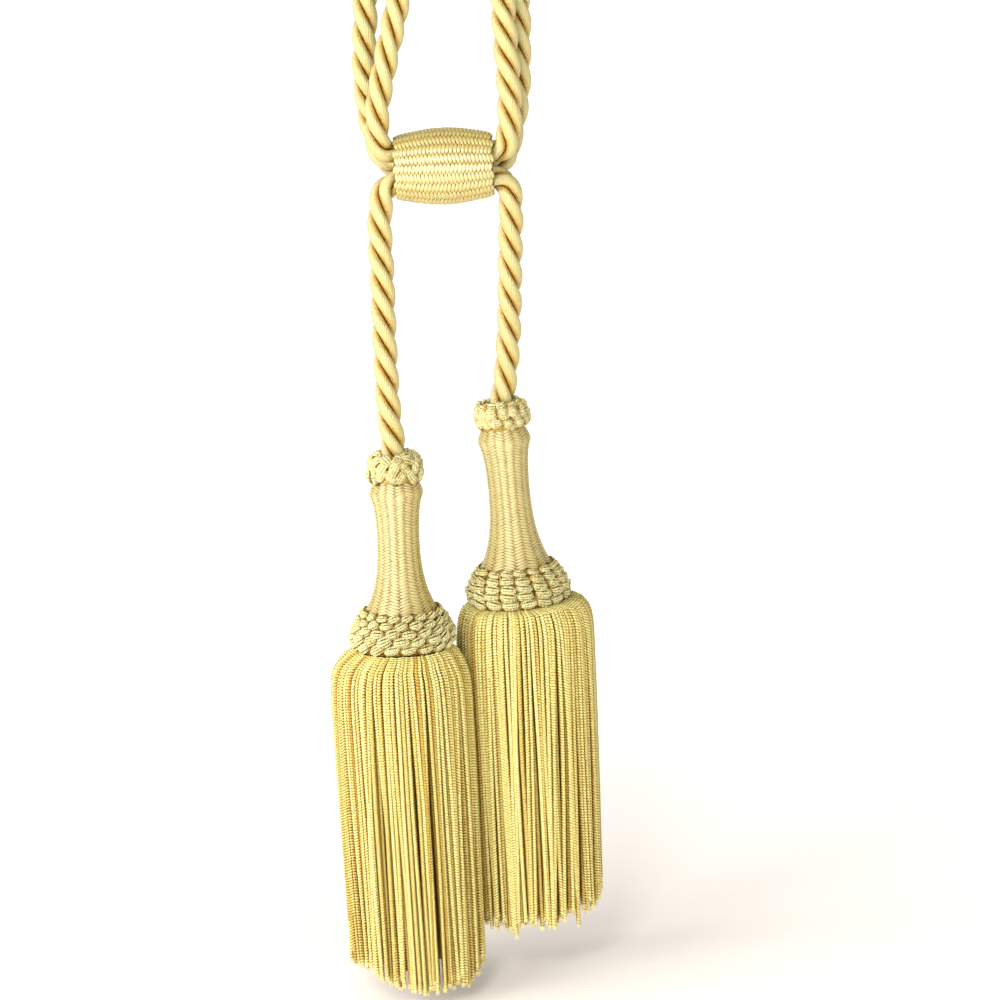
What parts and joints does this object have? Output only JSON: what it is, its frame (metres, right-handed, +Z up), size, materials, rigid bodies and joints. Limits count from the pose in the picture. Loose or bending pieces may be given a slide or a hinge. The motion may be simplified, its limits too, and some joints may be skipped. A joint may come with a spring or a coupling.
{
  "type": "curtain tieback tassel",
  "caption": "Curtain tieback of twisted rope in hanging loops drawn through a thread-covered barrel slider, with a large fringed tassel on each end.",
  "frame": {"origin": "top of the wall hook, where the inside of both rope loops rests", "axes": "+Z up along the hanging tieback, -Y faces the room, +X to the viewer's right"},
  "size_m": [0.1198, 0.0852, 0.7272],
  "materials": {
    "rope": "three-ply twisted rope covered in pale gold rayon thread, satin sheen",
    "slider": "turned wood covered in woven pale gold rayon thread, satin sheen",
    "ruff": "crocheted gold rayon cord",
    "head": "turned wood covered in woven pale gold rayon thread, satin sheen",
    "collar": "crocheted gold rayon cord in rows of knots",
    "fringe": "gold rayon chainette cords, cut ends"
  },
  "bodies": {
    "root": {"rope": "rope", "slider": "slider", "left_ruff": "ruff", "left_head": "head", "left_collar": "collar", "left_fringe": "fringe", "right_ruff": "ruff", "right_head": "head", "right_collar": "collar", "right_fringe": "fringe"}
  },
  "joints": []
}
